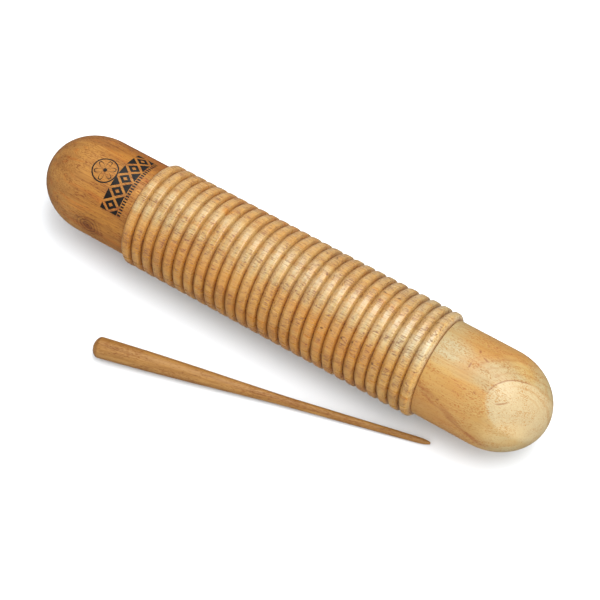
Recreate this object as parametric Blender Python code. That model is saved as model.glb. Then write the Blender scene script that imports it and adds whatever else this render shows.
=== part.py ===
"""A wooden guiro and its scraper.

The guiro is a bored, ribbed tube. A turned, domed cap is glued into each end of it, and the loose
scraper lies on the floor beside it.

Frame: metres, +Z up, floor at z = 0. The guiro lies along X, and the origin is on the floor under its
middle rib. Run it with: blender --background --python part.py
"""

import math

import bmesh
import bpy
from mathutils import Vector

MM = 0.001

# Ribbed tube
CREST_RADIUS = 31.75 * MM
ROOT_RADIUS = 28.75 * MM
RIB_COUNT = 27
RIB_PITCH = 7.12 * MM
CREST_WIDTH = 0.30 * RIB_PITCH
SHOULDER_WIDTH = 0.68 * RIB_PITCH
SHOULDER_DROP = 0.30 * (CREST_RADIUS - ROOT_RADIUS)
BORE_RADIUS = 22.0 * MM

# End caps
CAP_RADIUS = ROOT_RADIUS
CAP_CYLINDER = 35.9 * MM
CAP_DOME = 33.1 * MM
SPIGOT_LENGTH = 18.0 * MM
SPIGOT_WALL = 6.0 * MM
CAP_BORE_DEPTH = 34.0 * MM

# Scraper: where its ends lie on the floor, and its radius at distances from the butt end
SCRAPER_BUTT = Vector((-82.2, -79.5)) * MM
SCRAPER_TIP = Vector((110.3, -28.2)) * MM
SCRAPER_BUTT_RADIUS = 6.25 * MM
SCRAPER_BUTT_ROUNDING = 3.5 * MM
SCRAPER_TIP_RADIUS = 1.75 * MM
SCRAPER_TIP_CONE = 5.0 * MM
SCRAPER_TIP_FLAT = 0.6 * MM
SCRAPER_TAPER = ((35, 5.65), (60, 4.85), (88, 3.75), (112, 2.85), (150, 2.30))

# Glued and resting faces stay this far apart
GAP = 0.3 * MM

TUBE_SIDES = 32
SCRAPER_SIDES = 16
DOME_STEPS = 8
ROUNDING_STEPS = 3

RIBBED_LENGTH = RIB_COUNT * RIB_PITCH

# Name: base colour, roughness
WOODS = {
    "ribbed_wood": ((0.62, 0.36, 0.15), 0.42),
    "brown_cap_wood": ((0.42, 0.19, 0.06), 0.38),
    "pale_cap_wood": ((0.74, 0.50, 0.25), 0.38),
    "scraper_wood": ((0.45, 0.21, 0.08), 0.50),
}


def clear_scene():
    for obj in list(bpy.data.objects):
        bpy.data.objects.remove(obj)


def wood(name):
    colour, roughness = WOODS[name]
    material = bpy.data.materials.new(name)
    material.use_nodes = True
    shader = material.node_tree.nodes["Principled BSDF"]
    shader.inputs["Base Color"].default_value = (*colour, 1.0)
    shader.inputs["Roughness"].default_value = roughness
    shader.inputs["Metallic"].default_value = 0.0
    return material


def turned(name, profile, sides, material, closed=False):
    """An object turned about its own X axis from a profile of (x, radius) points.

    The sides are flats at the profile's radius, and one of them faces straight down. A closed profile
    joins its last point to its first, and an open one starts and ends on the axis.
    """
    half_side = math.pi / sides
    down = Vector((0.0, -math.sin(half_side), -math.cos(half_side))) / math.cos(half_side)
    bm = bmesh.new()
    points = [bm.verts.new(Vector((x, 0.0, 0.0)) + radius * down) for x, radius in profile]
    edges = [bm.edges.new(pair) for pair in zip(points, points[1:])]
    if closed:
        edges.append(bm.edges.new((points[-1], points[0])))
    bmesh.ops.spin(
        bm,
        geom=points + edges,
        cent=(0.0, 0.0, 0.0),
        axis=(1.0, 0.0, 0.0),
        dvec=(0.0, 0.0, 0.0),
        angle=2.0 * math.pi,
        steps=sides,
        use_merge=True,
    )
    bmesh.ops.remove_doubles(bm, verts=bm.verts, dist=0.001 * MM)
    bmesh.ops.recalc_face_normals(bm, faces=bm.faces)
    mesh = bpy.data.meshes.new(name)
    bm.to_mesh(mesh)
    bm.free()
    mesh.shade_smooth()
    mesh.set_sharp_from_angle(angle=math.radians(40))
    mesh.materials.append(material)
    obj = bpy.data.objects.new(name, mesh)
    bpy.context.collection.objects.link(obj)
    return obj


def rib_profile(centre):
    """The groove's root before a rib, and then the rib: shoulder, crest and shoulder."""
    return [
        (centre - RIB_PITCH / 2, ROOT_RADIUS),
        (centre - SHOULDER_WIDTH / 2, CREST_RADIUS - SHOULDER_DROP),
        (centre - CREST_WIDTH / 2, CREST_RADIUS),
        (centre + CREST_WIDTH / 2, CREST_RADIUS),
        (centre + SHOULDER_WIDTH / 2, CREST_RADIUS - SHOULDER_DROP),
    ]


def make_ribbed_body():
    profile = []
    for rib in range(RIB_COUNT):
        profile += rib_profile((rib + 0.5) * RIB_PITCH - RIBBED_LENGTH / 2)
    profile.append((RIBBED_LENGTH / 2, ROOT_RADIUS))
    profile.append((RIBBED_LENGTH / 2, BORE_RADIUS))
    profile.append((-RIBBED_LENGTH / 2, BORE_RADIUS))
    return turned("ribbed_body", profile, TUBE_SIDES, wood("ribbed_wood"), closed=True)


def end_cap_profile():
    """A cap that points along +X, from the middle of its dome to the bottom of its bore."""
    shoulder = RIBBED_LENGTH / 2 + GAP
    dome_start = RIBBED_LENGTH / 2 + CAP_CYLINDER
    profile = []
    for step in range(DOME_STEPS + 1):
        angle = math.pi / 2 * step / DOME_STEPS
        profile.append((dome_start + CAP_DOME * math.cos(angle), CAP_RADIUS * math.sin(angle)))
    spigot_radius = BORE_RADIUS - GAP
    spigot_end = shoulder - SPIGOT_LENGTH
    bore_radius = spigot_radius - SPIGOT_WALL
    bore_end = shoulder + CAP_BORE_DEPTH
    return profile + [
        (shoulder, CAP_RADIUS),
        (shoulder, spigot_radius),
        (spigot_end, spigot_radius),
        (spigot_end, bore_radius),
        (bore_end, bore_radius),
        (bore_end, 0.0),
    ]


def make_end_cap(name, side, material):
    """A cap on the +X side (1) or the -X side (-1)."""
    profile = [(side * x, radius) for x, radius in end_cap_profile()]
    return turned(name, profile, TUBE_SIDES, material)


def scraper_profile(length):
    """From the middle of the rounded butt end to the middle of the blunt tip."""
    profile = []
    for step in range(ROUNDING_STEPS + 1):
        angle = math.pi / 2 * step / ROUNDING_STEPS
        distance = SCRAPER_BUTT_ROUNDING * (1.0 - math.cos(angle))
        profile.append((distance, SCRAPER_BUTT_RADIUS * math.sin(angle)))
    profile += [(distance * MM, radius * MM) for distance, radius in SCRAPER_TAPER]
    profile.append((length - SCRAPER_TIP_CONE, SCRAPER_TIP_RADIUS))
    profile.append((length, SCRAPER_TIP_FLAT))
    profile.append((length, 0.0))
    return profile


def make_scraper():
    """The scraper, lying on the ring where its tip's cone starts and on the ring that then touches first."""
    along = SCRAPER_TIP - SCRAPER_BUTT
    length = along.length
    profile = scraper_profile(length)
    tip_ring = length - SCRAPER_TIP_CONE
    slopes = [
        ((radius - SCRAPER_TIP_RADIUS) / (tip_ring - x), x, radius) for x, radius in profile if x < tip_ring
    ]
    slope, ring, ring_radius = max(slopes)
    dip = math.atan(slope)
    height = ring * math.sin(dip) + ring_radius * math.cos(dip)
    obj = turned("scraper", profile, SCRAPER_SIDES, wood("scraper_wood"))
    obj.location = (*SCRAPER_BUTT, height)
    obj.rotation_euler = (0.0, dip, math.atan2(along.y, along.x))
    return obj


def main():
    clear_scene()
    guiro = bpy.data.objects.new("guiro_axis", None)
    guiro.location = (0.0, 0.0, CREST_RADIUS)
    bpy.context.collection.objects.link(guiro)
    turned_pieces = (
        make_ribbed_body(),
        make_end_cap("left_end_cap", -1, wood("brown_cap_wood")),
        make_end_cap("right_end_cap", 1, wood("pale_cap_wood")),
    )
    for piece in turned_pieces:
        piece.parent = guiro
    make_scraper()


main()
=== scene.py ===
"""The looks of a wooden guiro and its scraper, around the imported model.

Every CAD node is replaced by a fine turned surface of the same size. The woods are procedural and solid:
they work in each piece's own coordinates, so the grain runs through the piece. Places on the guiro are given
as x, in millimetres from its middle, and an angle round it in degrees: 0 is the top, and it grows towards
the scraper.
"""

import math

import bpy
import numpy as np
from mathutils import Matrix, Vector


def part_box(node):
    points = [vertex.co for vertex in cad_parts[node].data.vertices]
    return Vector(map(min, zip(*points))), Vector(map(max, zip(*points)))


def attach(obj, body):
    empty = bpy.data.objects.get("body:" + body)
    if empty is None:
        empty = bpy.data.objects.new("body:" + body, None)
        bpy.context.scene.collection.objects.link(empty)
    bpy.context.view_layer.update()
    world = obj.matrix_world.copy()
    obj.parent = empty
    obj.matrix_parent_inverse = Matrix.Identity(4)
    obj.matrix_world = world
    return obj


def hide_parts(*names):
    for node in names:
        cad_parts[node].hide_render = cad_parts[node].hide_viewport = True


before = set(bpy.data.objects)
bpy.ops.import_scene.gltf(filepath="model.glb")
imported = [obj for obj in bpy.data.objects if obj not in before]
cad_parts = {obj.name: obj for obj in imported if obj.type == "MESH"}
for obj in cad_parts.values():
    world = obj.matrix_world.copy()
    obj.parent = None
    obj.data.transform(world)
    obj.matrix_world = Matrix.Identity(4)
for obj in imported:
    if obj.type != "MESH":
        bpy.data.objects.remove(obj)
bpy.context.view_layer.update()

MM = 0.001

# Sizes read from the frame
TUBE_LOW, TUBE_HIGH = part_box("ribbed_body")
CAP_LOW, CAP_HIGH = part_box("right_end_cap")
CREST_RADIUS = (TUBE_HIGH.z - TUBE_LOW.z) / 2
CAP_RADIUS = (CAP_HIGH.z - CAP_LOW.z) / 2
TUBE_END = TUBE_HIGH.x
CAP_END = CAP_HIGH.x
SPIGOT_END = CAP_LOW.x
AXIS_HEIGHT = CREST_RADIUS

# Ribs. From -X to +X a rib rises softly to its crest, which starts at CREST_AT, and falls steeply from
# EDGE_AT to the groove's root at GROOVE_AT. All three are shares of the pitch from the rib's middle. CROWN is
# how much lower the crest's own curve is half a pitch from the middle.
RIB_COUNT = 27
PITCH = 2 * TUBE_END / RIB_COUNT
GROOVE_DEPTH = 2.5 * MM
GROOVE_AT = 0.435
EDGE_AT = 0.265
EDGE_POWER = 1.8
CREST_AT = -0.13
RISE_ROUNDNESS = 0.6
CROWN = 0.12 * MM
END_POWER = 2.6

# End caps and the tube's inside
GAP = 0.3 * MM
SEAM = 0.12 * MM
DOME = 33.1 * MM
BORE_RADIUS = 22.0 * MM
SPIGOT_RADIUS = BORE_RADIUS - GAP
SPIGOT_WALL = 6.0 * MM
CAP_BORE_RADIUS = SPIGOT_RADIUS - SPIGOT_WALL
CAP_BORE_DEPTH = 34.0 * MM
CAP_BORE_END = TUBE_END + GAP + CAP_BORE_DEPTH
EDGE_ROUNDING = 0.2 * MM

# Scraper. The tip's points are shares of its cone's length and of the radius where the cone starts. The taper
# is read at every OUTLINE_STEP and averaged over OUTLINE_SMOOTHING points.
CAD_SCRAPER_SIDES = 16
BUTT_ROUNDING = 4.2 * MM
TIP_CONE = 3.8 * MM
TIP_POINTS = ((0.0, 1.0), (0.5, 0.80), (0.85, 0.55), (1.0, 0.30), (1.0, 0.0))
OUTLINE_STEP = 1.5 * MM
OUTLINE_SMOOTHING = 9

# Fineness of the meshes. A point nearer to the axis than ON_AXIS is on it.
SIDES = 144
RIB_STEPS = 24
DOME_STEPS = 48
SCRAPER_SIDES = 96
BUTT_STEPS = 12
SHARP_ANGLE = math.radians(50)
ON_AXIS = 1e-7

# Linear colours: the two that each wood is mixed from, the pale cap's figure, the ink and the floor
RIBBED_COLOURS = ((0.372, 0.248, 0.110, 1), (0.358, 0.205, 0.067, 1))
BROWN_COLOURS = ((0.285, 0.120, 0.014, 1), (0.224, 0.087, 0.010, 1))
STRAW_COLOURS = ((0.320, 0.247, 0.116, 1), (0.312, 0.214, 0.082, 1))
CREAM = (0.385, 0.295, 0.152, 1)
SCRAPER_COLOURS = ((0.272, 0.137, 0.033, 1), (0.222, 0.101, 0.019, 1))
INK = (0.003, 0.003, 0.003, 1)
FLOOR_COLOUR = (0.70, 0.72, 0.74, 1)

# Dark pits on the crests: x, angle, half length, half width and turn. The turn is in degrees, and swings the
# +X end of the length towards the scraper.
RIB_PITS = (
    (21, -30, 2.0, 0.6, 55),
    (55, -17, 2.2, 0.6, 30),
    (64, -18, 2.2, 0.6, -20),
    (90, -15, 1.6, 0.6, 0),
    (36, 49, 1.6, 0.8, 0),
    (41, 47, 1.4, 0.7, 0),
    (48, 49, 1.3, 1.2, 0),
    (54, 48, 1.8, 0.9, 0),
    (70, 57, 1.3, 1.4, 0),
)

# An orange patch on the ribs, and a painted highlight on the brown cap as a pale patch, given like the pits
RIB_PATCH = ((-46, -14, 5.0, 3.8, 0),)
BROWN_CAP_HIGHLIGHT = ((-98, 14, 2.6, 2.0, 0),)

# Small brown marks on the pale cap, given like the pits
PALE_CAP_MARKS = (
    (142, 31, 5.6, 0.7, -27),
    (117, 11, 0.8, 3.0, 0),
    (119, -11, 1.2, 1.0, 0),
    (124, -5, 3.0, 0.8, 15),
    (126, 35, 1.1, 1.0, 0),
    (110, 60, 1.2, 0.8, 0),
)

# The long brown streak on the pale cap, as overlapping spots given like the pits
PALE_CAP_STREAKS = (
    (101, 56, 13, 2.4, 16),
    (106, 65, 14, 1.6, 20),
    (119, 72, 14, 2.8, 27),
    (123, 81, 14, 1.8, 28),
    (135, 91, 13, 2.4, 28),
)

# The print on the brown cap. Lengths are millimetres, along x and along the arc from the top. Inside a cell
# of the row, 0 is its middle and 1 the outline of a diamond that fills it: the ink is in the ring, and from
# CORNERS_FROM on. TICK_HALF_SHARE is half a tick's share of the ticks' period, and RIM_LINE and PETAL_LINE
# are half widths.
ROW_X = -109.0
ROW_HALF_HEIGHT = 5.6
ROW_ARC = (-17.6, 25.4)
ROW_CELLS = 5
DIAMOND_RING = (0.28, 0.74)
CORNERS_FROM = 1.16
TICKS_X = -101.9
TICKS_HALF_HEIGHT = 1.1
TICKS_PERIOD = 1.72
TICK_HALF_SHARE = 0.27
ROSETTE_X = -122.4
ROSETTE_ARC = 5.0
ROSETTE_RADIUS = 7.6
RIM_LINE = 0.42
EYE_RADIUS = 1.2
PETALS = 6
PETAL_LENGTH = 0.86 * ROSETTE_RADIUS
PETAL_LINE = 0.45
INK_COVER = (0.94, 0.99)

# Camera and light. The lens and the sensor are in millimetres, and the softbox's power is in watts.
CAMERA_TARGET = Vector((-2.25, 13.34, 0.0)) * MM
CAMERA_AZIMUTH = math.radians(32.65)
CAMERA_ELEVATION = math.radians(57.18)
CAMERA_DISTANCE = 1.1386
CAMERA_LENS = 117.4
SENSOR_WIDTH = 36.0
SOFTBOX_DIRECTION = Vector((0.16, 0.14, 0.97))
SOFTBOX_DISTANCE = 0.8
SOFTBOX_LENGTH = 1.0
SOFTBOX_WIDTH = 0.55
SOFTBOX_POWER = 8.0
HORIZON_STRENGTH = 1.30
ZENITH_STRENGTH = 1.62
FRONT_STRENGTH = 0.35
RIGHT_STRENGTH = 0.60
REFLECTED_STRENGTH = 0.2
FLOOR_HALF = 3.0


# ---------------------------------------------------------------- turned shapes


def lathe(name, profile, sides, closed=False):
    """One closed mesh turned about local X from a profile of (x, radius) points.

    A closed profile joins its last point to its first, and an open one starts and ends on the axis.
    """
    points = []
    rings = []
    for x, radius in profile:
        if radius < ON_AXIS:
            rings.append([len(points)])
            points.append((x, 0.0, 0.0))
            continue
        rings.append(list(range(len(points), len(points) + sides)))
        for side in range(sides):
            angle = 2 * math.pi * side / sides
            points.append((x, -radius * math.sin(angle), radius * math.cos(angle)))
    faces = []
    pairs = list(zip(rings, rings[1:]))
    if closed:
        pairs.append((rings[-1], rings[0]))
    for one, two in pairs:
        for side in range(sides):
            after = (side + 1) % sides
            if len(one) == 1:
                faces.append((one[0], two[after], two[side]))
            elif len(two) == 1:
                faces.append((one[side], one[after], two[0]))
            else:
                faces.append((one[side], one[after], two[after], two[side]))
    mesh = bpy.data.meshes.new(name)
    mesh.from_pydata(points, [], faces)
    mesh.validate()
    mesh.shade_smooth()
    obj = bpy.data.objects.new(name, mesh)
    bpy.context.scene.collection.objects.link(obj)
    return outwards(obj)


def outwards(obj):
    """Turns the mesh's faces round if they point into the solid, and marks its sharp edges."""
    mesh = obj.data
    mesh.calc_loop_triangles()
    points = np.array([vertex.co for vertex in mesh.vertices])
    corners = points[np.array([triangle.vertices for triangle in mesh.loop_triangles])]
    if np.linalg.det(corners).sum() < 0:
        mesh.flip_normals()
    mesh.set_sharp_from_angle(angle=SHARP_ANGLE)
    return obj


def smoothstep(t):
    """A smooth step from 0 at 0 to 1 at 1."""
    t = min(max(t, 0.0), 1.0)
    return t * t * (3 - 2 * t)


def rib_radius(share):
    """The tube's radius at a share of the pitch from a rib's middle."""
    if share > GROOVE_AT:
        share -= 1
    if share > EDGE_AT:
        fall = ((share - EDGE_AT) / (GROOVE_AT - EDGE_AT)) ** EDGE_POWER
    elif share > CREST_AT:
        fall = 0
    else:
        rise = (share - GROOVE_AT + 1) / (CREST_AT - GROOVE_AT + 1)
        fall = RISE_ROUNDNESS * (1 - smoothstep(rise)) + (1 - RISE_ROUNDNESS) * (1 - rise) ** 2
    crown = CROWN * min(abs(2 * share), 1) ** 2
    return CREST_RADIUS - max(GROOVE_DEPTH * fall, crown)


def make_ribbed_body():
    """The tube with its ribs. The outermost ribs fall to the caps' radius at the tube's ends."""
    last_middle = TUBE_END - PITCH / 2
    profile = [(-TUBE_END, CAP_RADIUS)]
    for rib in range(RIB_COUNT):
        middle = (rib + 0.5) * PITCH - TUBE_END
        for step in range(RIB_STEPS):
            share = GROOVE_AT - 1 + step / RIB_STEPS
            x = middle + share * PITCH
            if -TUBE_END < x < last_middle:
                profile.append((x, rib_radius(share)))
    half_steps = RIB_STEPS // 2
    for step in range(half_steps + 1):
        fall = (CREST_RADIUS - CAP_RADIUS) * (step / half_steps) ** END_POWER
        profile.append((last_middle + step / RIB_STEPS * PITCH, CREST_RADIUS - fall))
    profile.append((TUBE_END, BORE_RADIUS))
    profile.append((-TUBE_END, BORE_RADIUS))
    return lathe("ribbed_tube", profile, SIDES, closed=True)


def rounded_corner(x, radius):
    """Three points that round a cap's edge, from its outside to its shoulder at x."""
    corner = []
    for turn in (0.0, 0.5, 1.0):
        angle = math.pi / 2 * turn
        inset = EDGE_ROUNDING * (1 - math.sin(angle))
        drop = EDGE_ROUNDING * (1 - math.cos(angle))
        corner.append((x + inset, radius - drop))
    return corner


def make_end_cap(name, side):
    """A domed cap on the +X side (1) or the -X side (-1), with its spigot and blind bore."""
    dome_start = CAP_END - DOME
    shoulder = TUBE_END + SEAM
    profile = []
    for step in range(DOME_STEPS + 1):
        angle = math.pi / 2 * step / DOME_STEPS
        profile.append((dome_start + DOME * math.cos(angle), CAP_RADIUS * math.sin(angle)))
    profile += rounded_corner(shoulder, CAP_RADIUS)
    profile += [
        (shoulder, SPIGOT_RADIUS),
        (SPIGOT_END, SPIGOT_RADIUS),
        (SPIGOT_END, CAP_BORE_RADIUS),
        (CAP_BORE_END, CAP_BORE_RADIUS),
        (CAP_BORE_END, 0.0),
    ]
    return lathe(name, [(side * x, radius) for x, radius in profile], SIDES)


def turned_outline(node, sides):
    """Where a turned CAD node's butt is, its direction, and its rings' distances from the butt and radii."""
    points = np.array([vertex.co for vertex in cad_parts[node].data.vertices])
    points = np.unique(np.round(points, 7), axis=0)
    centre = points.mean(axis=0)
    direction = np.linalg.svd(points - centre)[2][0]
    direction *= np.sign(direction[0])
    along = (points - centre) @ direction
    across = np.linalg.norm(points - centre - np.outer(along, direction), axis=1)
    distances = np.round(along - along.min(), 5)
    rings = np.unique(distances)
    radii = [across[distances == ring].max() * math.cos(math.pi / sides) for ring in rings]
    return Vector(centre + along.min() * direction), Vector(direction), rings, radii


def make_scraper():
    """The scraper: the CAD node's taper made smooth, between a rounded butt and a blunt tip."""
    butt, direction, rings, radii = turned_outline("scraper", CAD_SCRAPER_SIDES)
    tip_start = rings[-1] - TIP_CONE
    distances = np.arange(BUTT_ROUNDING, tip_start, OUTLINE_STEP)
    taper = np.interp(distances, rings, radii)
    padded = np.pad(taper, OUTLINE_SMOOTHING // 2, mode="reflect", reflect_type="odd")
    taper = np.convolve(padded, np.ones(OUTLINE_SMOOTHING) / OUTLINE_SMOOTHING, mode="valid")
    profile = []
    for step in range(BUTT_STEPS):
        angle = math.pi / 2 * step / BUTT_STEPS
        profile.append((BUTT_ROUNDING * (1 - math.cos(angle)), taper[0] * math.sin(angle)))
    profile += list(zip(distances, taper))
    tip_radius = np.interp(tip_start, rings, radii)
    for share, narrowing in TIP_POINTS:
        profile.append((tip_start + share * TIP_CONE, narrowing * tip_radius))
    obj = lathe("scraper_stick", profile, SCRAPER_SIDES)
    turn = direction.to_track_quat("X", "Z").to_matrix().to_4x4()
    obj.matrix_world = Matrix.Translation(butt) @ turn
    return obj


# ---------------------------------------------------------------- materials


def surface_radius(x):
    """The guiro's radius in millimetres at x, over the crests."""
    if abs(x) * MM < TUBE_END:
        return CREST_RADIUS / MM
    past = max(abs(x) - (CAP_END - DOME) / MM, 0.0) / (DOME / MM)
    return CAP_RADIUS / MM * math.sqrt(max(1 - past * past, 0.0))


class Wood:
    """A wood material under construction, whose values are node sockets.

    The place, x and the radius are millimetres in the piece's own coordinates, and the angle is radians. A
    tone is three factors that a colour is multiplied by.
    """

    SEED_STEP = 17.3
    BROAD_STREAK_TONE = (0.80, 0.68, 0.54)
    FINE_STREAK_TONE = (0.76, 0.66, 0.56)
    PALE_STREAK_TONE = (1.20, 1.22, 1.30)
    # The tone of the shade painted into the joints between the tube and the caps.
    SEAM_SHADE_TONE = (0.62, 0.42, 0.26)

    def __init__(self, name, seed):
        self.material = bpy.data.materials.new(name)
        self.material.use_nodes = True
        self.nodes = self.material.node_tree.nodes
        self.links = self.material.node_tree.links
        self.shader = self.nodes["Principled BSDF"]
        self.seed = seed
        place = self.node("ShaderNodeTexCoord").outputs["Object"]
        self.place = self.vector("SCALE", place, Scale=1 / MM)
        parts = self.node("ShaderNodeSeparateXYZ", self.place).outputs
        self.x = parts["X"]
        across = self.math("ADD", self.math("POWER", parts["Y"], 2), self.math("POWER", parts["Z"], 2))
        self.radius = self.math("SQRT", across)
        self.angle = self.math("ARCTAN2", self.math("MULTIPLY", parts["Y"], -1), parts["Z"])
        self.warped = self.warp(self.place, 9, 2.2)

    def node(self, kind, *values, **named):
        """A node with its sockets set in order or by name. A value that is a socket is linked."""
        node = self.nodes.new(kind)
        for key, value in list(enumerate(values)) + list(named.items()):
            if isinstance(key, str) and hasattr(node, key):
                setattr(node, key, value)
            elif isinstance(value, bpy.types.NodeSocket):
                self.links.new(value, node.inputs[key])
            else:
                node.inputs[key].default_value = value
        return node

    def math(self, operation, *values):
        return self.node("ShaderNodeMath", *values, operation=operation).outputs[0]

    def product(self, first, *others):
        """The values multiplied together."""
        for other in others:
            first = self.math("MULTIPLY", first, other)
        return first

    def away(self, value, centre):
        """How far the value is from the centre, on either side."""
        return self.math("ABSOLUTE", self.math("SUBTRACT", value, centre))

    def vector(self, operation, *values, **named):
        outputs = self.node("ShaderNodeVectorMath", *values, operation=operation, **named).outputs
        return outputs["Value"] if operation in ("LENGTH", "DOT_PRODUCT") else outputs["Vector"]

    def noise(self, size, detail=2.0, place=None, output="Fac"):
        """Noise whose lumps have the given sizes along X, Y and Z, different from any noise before it."""
        self.seed += self.SEED_STEP
        scaled = self.vector("DIVIDE", place or self.place, size)
        moved = self.vector("ADD", scaled, (self.seed, -self.seed, 0.5 * self.seed))
        return self.node("ShaderNodeTexNoise", moved, Scale=1.0, Detail=detail).outputs[output]

    def warp(self, place, size, amount):
        """The place moved about by up to the amount."""
        colour = self.noise((size * 2, size, size), 1.0, place, "Color")
        shift = self.vector("SUBTRACT", colour, (0.5, 0.5, 0.5))
        return self.vector("ADD", place, self.vector("SCALE", shift, Scale=amount * 2))

    def ramp(self, value, low, high, start=0.0, end=1.0):
        """A smooth step from start at low to end at high. Low may be above high."""
        if low > high:
            low, high, start, end = high, low, end, start
        limits = (low, high, start, end)
        node = self.node("ShaderNodeMapRange", value, *limits, interpolation_type="SMOOTHSTEP")
        return node.outputs["Result"]

    def window(self, value, low, full, until, high):
        """A smooth rise from 0 at low to 1 at full, and a smooth fall from 1 at until to 0 at high."""
        return self.product(self.ramp(value, low, full), self.ramp(value, high, until))

    def blend(self, factor, one, two, kind="MIX"):
        """Two colours mixed. The sockets of a colour Mix node are 0, 6 and 7."""
        node = self.node("ShaderNodeMix", data_type="RGBA", blend_type=kind, clamp_factor=True)
        for index, value in ((0, factor), (6, one), (7, two)):
            if isinstance(value, bpy.types.NodeSocket):
                self.links.new(value, node.inputs[index])
            else:
                node.inputs[index].default_value = value
        return node.outputs[2]

    def tint(self, colour, factor, tone):
        """The colour multiplied by the tone, where the factor is 1."""
        return self.blend(factor, colour, (*tone, 1.0), "MULTIPLY")

    def blotch(self, x, angle, size, turn=0.0, place=None):
        """The distance from a place on the surface, in an ellipsoid's half sizes: along, across and deep.

        The turn is in degrees, like a pit's.
        """
        radius = surface_radius(x)
        angle = math.radians(angle)
        centre = (x, -radius * math.sin(angle), radius * math.cos(angle))
        rotation = Matrix.Rotation(angle, 3, "X") @ Matrix.Rotation(math.radians(-turn), 3, "Z")
        mapping = self.node("ShaderNodeMapping", place or self.warped, vector_type="TEXTURE")
        mapping.inputs["Location"].default_value = centre
        mapping.inputs["Rotation"].default_value = rotation.to_euler("XYZ")
        mapping.inputs["Scale"].default_value = size
        return self.vector("LENGTH", mapping.outputs["Vector"])

    def spots(self, colour, tone, places, edge=0.35, strength=1.0):
        """Soft spots of a tone, each given as (x, angle, half length, half width, turn)."""
        for x, angle, length, width, turn in places:
            distance = self.blotch(x, angle, (length, width, max(length, width, 3.0)), turn)
            colour = self.tint(colour, self.ramp(distance, 1.0, edge, 0.0, strength), tone)
        return colour

    def back(self, start, full):
        """Where painted shade goes on the side away from the scraper: 0 at the start angle, 1 from the full
        one, and 0 underneath.
        """
        return self.window(self.angle, -2.6, -1.9, full, start)

    def grain(self, colour, broad_streaks, fine_streaks, pore_size, crowding, pore_tone):
        """Adds fibre streaks and pores. Keeps the pores and the fibres for the bump and the roughness."""
        broad = self.noise((90, 2.2, 2.2), 2.0)
        fine = self.noise((30, 0.33, 0.33), 1.0)
        colour = self.tint(colour, self.ramp(broad, 0.50, 0.68, 0.0, broad_streaks), self.BROAD_STREAK_TONE)
        colour = self.tint(colour, self.ramp(fine, 0.48, 0.66, 0.0, fine_streaks), self.FINE_STREAK_TONE)
        pale = self.ramp(fine, 0.48, 0.32, 0.0, 0.8 * fine_streaks)
        colour = self.tint(colour, pale, self.PALE_STREAK_TONE)
        crowd = self.ramp(self.noise((24, 6, 6), 2.0), 0.40, 0.62, 0.0, crowding)
        self.pores = self.ramp(self.math("ADD", self.noise(pore_size, 1.0), crowd), 0.62, 0.70)
        self.fibre = fine
        return self.tint(colour, self.pores, pore_tone)

    def seam(self, colour):
        """Paints shade into the edges of the joints between the tube and the caps."""
        near = self.away(self.math("ABSOLUTE", self.x), TUBE_END / MM)
        return self.tint(colour, self.ramp(near, 0.75, 0.15, 0.0, 0.8), self.SEAM_SHADE_TONE)

    def finish(self, colour, roughness, specular, bump):
        """Connects the colour, the roughness and the bump to the shader."""
        inputs = self.shader.inputs
        self.links.new(colour, inputs["Base Color"])
        rough = self.ramp(self.noise((14, 3, 3), 3.0), 0.3, 0.7, roughness - 0.05, roughness + 0.05)
        rough = self.math("MULTIPLY_ADD", self.pores, 0.25, rough)
        self.links.new(rough, inputs["Roughness"])
        lathe_marks = self.noise((0.45, 30, 30), 2.0)
        height = self.math("MULTIPLY_ADD", self.fibre, 0.35, self.math("MULTIPLY", lathe_marks, 0.25))
        height = self.math("SUBTRACT", height, self.math("MULTIPLY", self.pores, 0.8))
        node = self.node("ShaderNodeBump", Strength=bump, Distance=0.15 * MM, Height=height)
        self.links.new(node.outputs["Normal"], inputs["Normal"])
        inputs["Specular IOR Level"].default_value = specular
        return self.material


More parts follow.
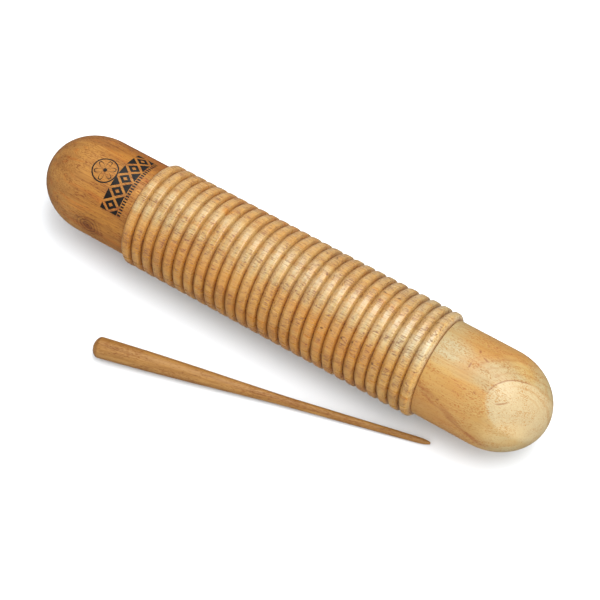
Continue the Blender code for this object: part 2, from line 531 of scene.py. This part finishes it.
def rib_tints(wood, colour):
    """Tints the ribs: painted highlights where they rise to a crest and on the crests' upper side, painted
    light on the last rib's +X slope, golden at the crest's edge, and painted shade down into the grooves.
    """
    turns = wood.math("DIVIDE", wood.math("ADD", wood.x, TUBE_END / MM), PITCH / MM)
    phase = wood.math("FRACT", turns)
    inner = wood.ramp(wood.math("ABSOLUTE", wood.x), TUBE_END / MM - 0.4, TUBE_END / MM - 2.4)
    depth = wood.product(inner, wood.math("SUBTRACT", CREST_RADIUS / MM, wood.radius))
    turned_down = wood.ramp(wood.math("ABSOLUTE", wood.angle), 0.15, 0.75, 0.15, 1.0)
    upwards = wood.ramp(wood.angle, 0.75, 0.2, 0.45, 1.0)
    # Painted highlight: paler and whiter where each rib rises to its crest, most on the upper side.
    rise = wood.product(wood.window(phase, 0.0, 0.06, 0.22, 0.40), upwards)
    colour = wood.tint(colour, rise, (1.20, 1.27, 1.42))
    # Painted highlight on the crests' upper, lit side.
    lit = wood.window(wood.angle, -0.15, 0.10, 0.55, 0.80)
    crest = wood.product(wood.window(phase, 0.32, 0.42, 0.62, 0.74), lit)
    colour = wood.tint(colour, crest, (0.96, 1.05, 1.13))
    # Painted light: the last rib's slope at +X made paler, as if lit.
    painted_last_slope_light = wood.ramp(wood.x, TUBE_END / MM - 3.2, TUBE_END / MM - 1.6, 0.0, 0.8)
    colour = wood.tint(colour, painted_last_slope_light, (1.22, 1.30, 1.45))
    edge = wood.product(wood.window(phase, 0.50, 0.68, 0.92, 1.0), inner)
    colour = wood.tint(colour, edge, (1.03, 0.97, 0.74))
    # Painted shade on the steep slopes down into the grooves, stronger on the sides.
    painted_slope_shade = wood.product(edge, turned_down, wood.ramp(depth, 0.3, 1.5, 0.0, 0.6))
    colour = wood.tint(colour, painted_slope_shade, (0.90, 0.74, 0.60))
    # Painted shade at the roots of the grooves.
    painted_root_shade = wood.product(turned_down, wood.ramp(depth, 1.9, 2.5, 0.0, 0.9))
    colour = wood.tint(colour, painted_root_shade, (0.64, 0.47, 0.44))
    # Painted shade along the foot of each rise.
    painted_foot_shade = wood.product(wood.ramp(wood.away(phase, 0.965), 0.07, 0.02), inner, turned_down)
    return wood.tint(colour, painted_foot_shade, (0.84, 0.76, 0.80))


def ribbed_wood():
    wood = Wood("ribbed_wood", 3.0)
    mottle = wood.noise((55, 10, 10), 3.0, wood.warped)
    colour = wood.blend(wood.ramp(mottle, 0.38, 0.66), *RIBBED_COLOURS)
    # Painted shade: the lower side of the ribs, towards the scraper, darker and more orange.
    low = wood.window(wood.angle, 0.38, 0.90, 1.9, 2.6)
    colour = wood.tint(colour, wood.product(low, 0.85), (1.01, 0.77, 0.37))
    bands = wood.ramp(wood.noise((70, 3.2, 3.2), 2.0, wood.warped), 0.54, 0.70, 0.0, 0.7)
    colour = wood.tint(colour, bands, (0.95, 0.76, 0.50))
    colour = wood.tint(colour, wood.ramp(wood.x, 60.0, 84.0), (0.99, 1.09, 1.27))
    # Painted shade on the far side of the ribs' left half: warmer and a little darker.
    painted_far_left_shade = wood.product(wood.back(-0.10, -0.45), wood.ramp(wood.x, 20.0, -20.0))
    colour = wood.tint(colour, painted_far_left_shade, (1.03, 0.94, 0.80))
    colour = wood.grain(colour, 0.15, 1.0, (3.2, 0.46, 0.46), 0.09, (0.50, 0.29, 0.13))
    colour = wood.spots(colour, (1.0, 0.76, 0.42), RIB_PATCH)
    colour = wood.spots(colour, (0.28, 0.19, 0.15), RIB_PITS, 0.3)
    return wood.finish(wood.seam(rib_tints(wood, colour)), 0.31, 1.0, 0.9)


def ornament(wood):
    """A printed band of diamonds, a line of ticks beside it and a rosette: how much ink there is."""
    arc = wood.math("MULTIPLY", wood.angle, CAP_RADIUS / MM)

    def less(value, limit):
        return wood.math("LESS_THAN", value, limit)

    def within(value, low, high):
        return wood.product(wood.math("GREATER_THAN", value, low), less(value, high))

    def repeat(length):
        """How far the arc is from the middle of its repeat, from 0 to 0.5."""
        turns = wood.math("DIVIDE", wood.math("SUBTRACT", arc, ROW_ARC[0]), length)
        return wood.away(wood.math("FRACT", turns), 0.5)

    in_row = within(arc, *ROW_ARC)
    up = wood.away(wood.x, ROW_X)
    sideways = wood.math("MULTIPLY", repeat((ROW_ARC[1] - ROW_ARC[0]) / ROW_CELLS), 2)
    diamond = wood.math("ADD", wood.math("DIVIDE", up, ROW_HALF_HEIGHT), sideways)
    corners = wood.math("GREATER_THAN", diamond, CORNERS_FROM)
    pattern = wood.math("MAXIMUM", within(diamond, *DIAMOND_RING), corners)
    tick = less(repeat(TICKS_PERIOD), TICK_HALF_SHARE)
    ticks = wood.product(in_row, tick, less(wood.away(wood.x, TICKS_X), TICKS_HALF_HEIGHT))

    along = wood.math("SUBTRACT", wood.x, ROSETTE_X)
    around = wood.math("SUBTRACT", arc, ROSETTE_ARC)
    square = wood.math("ADD", wood.math("POWER", along, 2), wood.math("POWER", around, 2))
    distance = wood.math("SQRT", square)
    wave = wood.math("SINE", wood.math("MULTIPLY", wood.math("ARCTAN2", around, along), PETALS / 2))
    petal = wood.math("MULTIPLY", wood.math("ABSOLUTE", wave), PETAL_LENGTH)

    ink = wood.product(in_row, less(up, ROW_HALF_HEIGHT), pattern)
    others = (
        ticks,
        wood.product(less(wood.away(distance, petal), PETAL_LINE), less(distance, PETAL_LENGTH)),
        less(wood.away(distance, ROSETTE_RADIUS), RIM_LINE),
        less(distance, EYE_RADIUS),
    )
    for other in others:
        ink = wood.math("MAXIMUM", ink, other)
    cover = wood.ramp(wood.noise((0.9, 0.6, 0.6), 2.0), 0.28, 0.40, *INK_COVER)
    return wood.product(ink, cover)


def brown_cap_wood():
    wood = Wood("brown_cap_wood", 41.0)
    mottle = wood.noise((40, 8, 8), 3.0, wood.warped)
    colour = wood.blend(wood.ramp(mottle, 0.36, 0.64), *BROWN_COLOURS)
    bands = wood.ramp(wood.noise((55, 3.0, 3.0), 2.0, wood.warped), 0.52, 0.68, 0.0, 0.8)
    colour = wood.tint(colour, bands, (1.05, 0.84, 0.60))
    # Painted highlight: a pale, whitish patch on the brown cap near the joint.
    colour = wood.spots(colour, (1.5, 1.8, 2.4), BROWN_CAP_HIGHLIGHT)
    colour = wood.tint(colour, wood.ramp(wood.x, -116.0, -142.0), (1.06, 1.19, 2.05))
    # Painted shade on the far side of the brown cap, towards its upper rim.
    colour = wood.tint(colour, wood.back(-0.05, -0.70), (0.90, 0.81, 0.72))
    knot = wood.blotch(-121, 84, (10.0, 8.5, 60.0), place=wood.warp(wood.warped, 3.5, 0.9))
    fade = wood.ramp(knot, 1.3, 0.35)
    rings = wood.ramp(wood.math("SINE", wood.math("MULTIPLY", knot, 27)), -0.4, 0.9, 0.15, 1.0)
    colour = wood.tint(colour, wood.product(fade, rings), (0.48, 0.38, 0.33))
    colour = wood.tint(colour, wood.ramp(knot, 0.50, 0.10), (0.74, 0.66, 0.66))
    colour = wood.grain(colour, 0.45, 0.8, (3.0, 0.40, 0.40), 0.08, (0.62, 0.43, 0.27))
    colour = wood.blend(ornament(wood), colour, INK)
    return wood.finish(wood.seam(colour), 0.48, 0.32, 0.4)


def pale_cap_wood():
    """Straw-coloured wood. The figure is 1 on the outline of the cream field on the cap's end."""
    wood = Wood("pale_cap_wood", 77.0)
    wavy = wood.warp(wood.place, 7, 1.5)
    figure = wood.blotch(152.0, 28, (18.8, 14.8, 60.0), place=wavy)
    mottle = wood.noise((30, 6, 6), 3.0, wood.warped)
    straw = wood.blend(wood.ramp(mottle, 0.36, 0.66), *STRAW_COLOURS)
    reach = wood.math("MULTIPLY_ADD", wood.ramp(wood.angle, 0.05, -0.45), 10.0, wood.x)
    above = wood.ramp(wood.angle, 0.55, 0.10, 0.25, 1.0)
    band = wood.product(wood.ramp(figure, 1.5, 1.95), wood.ramp(reach, 104.0, 124.0), above)
    colour = wood.tint(straw, band, (1.04, 0.75, 0.38))
    colour = wood.blend(wood.ramp(figure, 1.14, 0.88, 0.0, 0.9), colour, CREAM)
    waving = wood.math("MULTIPLY_ADD", wood.noise((22, 9, 9), 2.0), 0.9, wood.angle)
    golden = wood.product(wood.ramp(waving, 0.62, 1.00), wood.ramp(figure, 0.92, 1.08))
    golden = wood.product(golden, wood.ramp(wood.x, 152.0, 132.0), 0.9)
    colour = wood.tint(colour, golden, (1.14, 0.86, 0.45))
    colour = wood.spots(colour, (0.96, 0.76, 0.54), [(104, 88, 24, 14, 10)], 0.5, 0.8)
    # A pale patch at the top near the joint: partly the wood's own paleness and partly a painted highlight.
    colour = wood.spots(colour, (1.06, 1.13, 1.30), [(107, 8, 18, 13, 0)], 0.3)
    colour = wood.spots(colour, (1.20, 1.15, 1.06), [(150, 72, 18, 14, 0)], 0.3)
    colour = wood.spots(colour, (1.09, 1.02, 0.80), [(143, -22, 12, 8, 0)], 0.3)
    line = wood.ramp(wood.away(figure, 1.0), 0.034, 0.008)
    top_left = wood.ramp(wood.blotch(139, 6, (14, 12, 60)), 1.1, 0.6)
    colour = wood.tint(colour, wood.product(line, top_left), (0.70, 0.50, 0.36))
    rings = wood.ramp(wood.math("SINE", wood.math("MULTIPLY", figure, 26)), 0.2, 1.0, 0.0, 0.6)
    nested = wood.product(wood.ramp(figure, 2.6, 1.5), wood.ramp(wood.angle, 0.35, 0.0))
    colour = wood.tint(colour, wood.product(rings, nested), (0.88, 0.72, 0.52))
    colour = wood.spots(colour, (0.76, 0.55, 0.40), PALE_CAP_STREAKS, 0.0, 0.9)
    colour = wood.spots(colour, (0.66, 0.44, 0.28), PALE_CAP_MARKS, 0.3, 0.9)
    colour = wood.grain(colour, 0.12, 0.35, (1.3, 0.42, 0.42), 0.11, (0.82, 0.59, 0.32))
    return wood.finish(wood.seam(colour), 0.45, 0.6, 0.4)


def scraper_wood():
    """Honey-brown wood with a darker rim round the butt. Its x is the distance from the butt."""
    wood = Wood("scraper_wood", 113.0)
    mottle = wood.noise((45, 2.5, 2.5), 3.0)
    colour = wood.blend(wood.ramp(mottle, 0.36, 0.66), *SCRAPER_COLOURS)
    colour = wood.grain(colour, 0.30, 0.7, (2.2, 0.34, 0.34), 0.12, (0.72, 0.54, 0.34))
    butt_rim = wood.product(wood.window(wood.x, 1.4, 2.6, 3.2, 4.2), 0.45)
    colour = wood.tint(colour, butt_rim, (0.60, 0.48, 0.40))
    return wood.finish(colour, 0.45, 0.35, 0.5)


def plain(name, colour, roughness):
    """A material of one colour, for the floor."""
    material = bpy.data.materials.new(name)
    material.use_nodes = True
    shader = material.node_tree.nodes["Principled BSDF"]
    shader.inputs["Base Color"].default_value = colour
    shader.inputs["Roughness"].default_value = roughness
    return material


# ---------------------------------------------------------------- stage


def look_from(obj, direction, distance, target):
    """Places a camera or a light at a distance from the target, and turns it to face the target."""
    obj.location = target + direction.normalized() * distance
    obj.rotation_euler = direction.to_track_quat("Z", "Y").to_euler()


def make_camera():
    camera = bpy.data.objects.new("camera", bpy.data.cameras.new("camera"))
    bpy.context.scene.collection.objects.link(camera)
    camera.data.lens = CAMERA_LENS
    camera.data.sensor_width = SENSOR_WIDTH
    flat = math.cos(CAMERA_ELEVATION)
    direction = Vector(
        (math.sin(CAMERA_AZIMUTH) * flat, -math.cos(CAMERA_AZIMUTH) * flat, math.sin(CAMERA_ELEVATION))
    )
    look_from(camera, direction, CAMERA_DISTANCE, CAMERA_TARGET)
    bpy.context.scene.camera = camera


def make_softbox():
    """A softbox above the guiro."""
    light = bpy.data.lights.new("softbox", "AREA")
    light.shape = "RECTANGLE"
    light.size = SOFTBOX_LENGTH
    light.size_y = SOFTBOX_WIDTH
    light.energy = SOFTBOX_POWER
    softbox = bpy.data.objects.new("softbox", light)
    bpy.context.scene.collection.objects.link(softbox)
    look_from(softbox, SOFTBOX_DIRECTION, SOFTBOX_DISTANCE, Vector((0, 0, AXIS_HEIGHT)))


def make_studio():
    """A white studio, brighter overhead, on the scraper's side and towards +X, and dim in reflections."""
    world = bpy.data.worlds.new("studio")
    world.use_nodes = True
    nodes = world.node_tree.nodes
    links = world.node_tree.links
    direction = nodes.new("ShaderNodeTexCoord").outputs["Generated"]
    lean = nodes.new("ShaderNodeVectorMath")
    lean.operation = "DOT_PRODUCT"
    lean.inputs[1].default_value = (RIGHT_STRENGTH, -FRONT_STRENGTH, ZENITH_STRENGTH - HORIZON_STRENGTH)
    strength = nodes.new("ShaderNodeMath")
    strength.inputs[1].default_value = HORIZON_STRENGTH
    links.new(direction, lean.inputs[0])
    links.new(lean.outputs["Value"], strength.inputs[0])
    glossy = nodes.new("ShaderNodeLightPath").outputs["Is Glossy Ray"]
    seen = nodes.new("ShaderNodeMix")
    links.new(glossy, seen.inputs["Factor"])
    links.new(strength.outputs[0], seen.inputs["A"])
    seen.inputs["B"].default_value = REFLECTED_STRENGTH
    links.new(seen.outputs["Result"], nodes["Background"].inputs["Strength"])
    nodes["Background"].inputs["Color"].default_value = (1.0, 1.0, 1.0, 1.0)
    bpy.context.scene.world = world
    bpy.context.scene.view_settings.view_transform = "Standard"


def make_floor():
    """A pale floor that reflections leave out."""
    half = FLOOR_HALF
    corners = [(-half, -half, 0), (half, -half, 0), (half, half, 0), (-half, half, 0)]
    mesh = bpy.data.meshes.new("floor")
    mesh.from_pydata(corners, [], [(0, 1, 2, 3)])
    floor = bpy.data.objects.new("floor", mesh)
    bpy.context.scene.collection.objects.link(floor)
    mesh.materials.append(plain("floor_white", FLOOR_COLOUR, 0.9))
    floor.visible_glossy = False


def place(piece, body, node, slot, material):
    """Gives a piece its material and its body, in place of a CAD node."""
    piece.data.materials.append(material)
    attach(piece, body)
    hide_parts(node)


def main():
    make_camera()
    make_softbox()
    make_studio()
    make_floor()
    ribbed = make_ribbed_body()
    left = make_end_cap("printed_cap", -1)
    right = make_end_cap("plain_cap", 1)
    for piece in (ribbed, left, right):
        piece.location.z = AXIS_HEIGHT
    place(ribbed, "guiro", "ribbed_body", "ribbed_wood", ribbed_wood())
    place(left, "guiro", "left_end_cap", "brown_cap_wood", brown_cap_wood())
    place(right, "guiro", "right_end_cap", "pale_cap_wood", pale_cap_wood())
    place(make_scraper(), "scraper", "scraper", "scraper_wood", scraper_wood())


main()
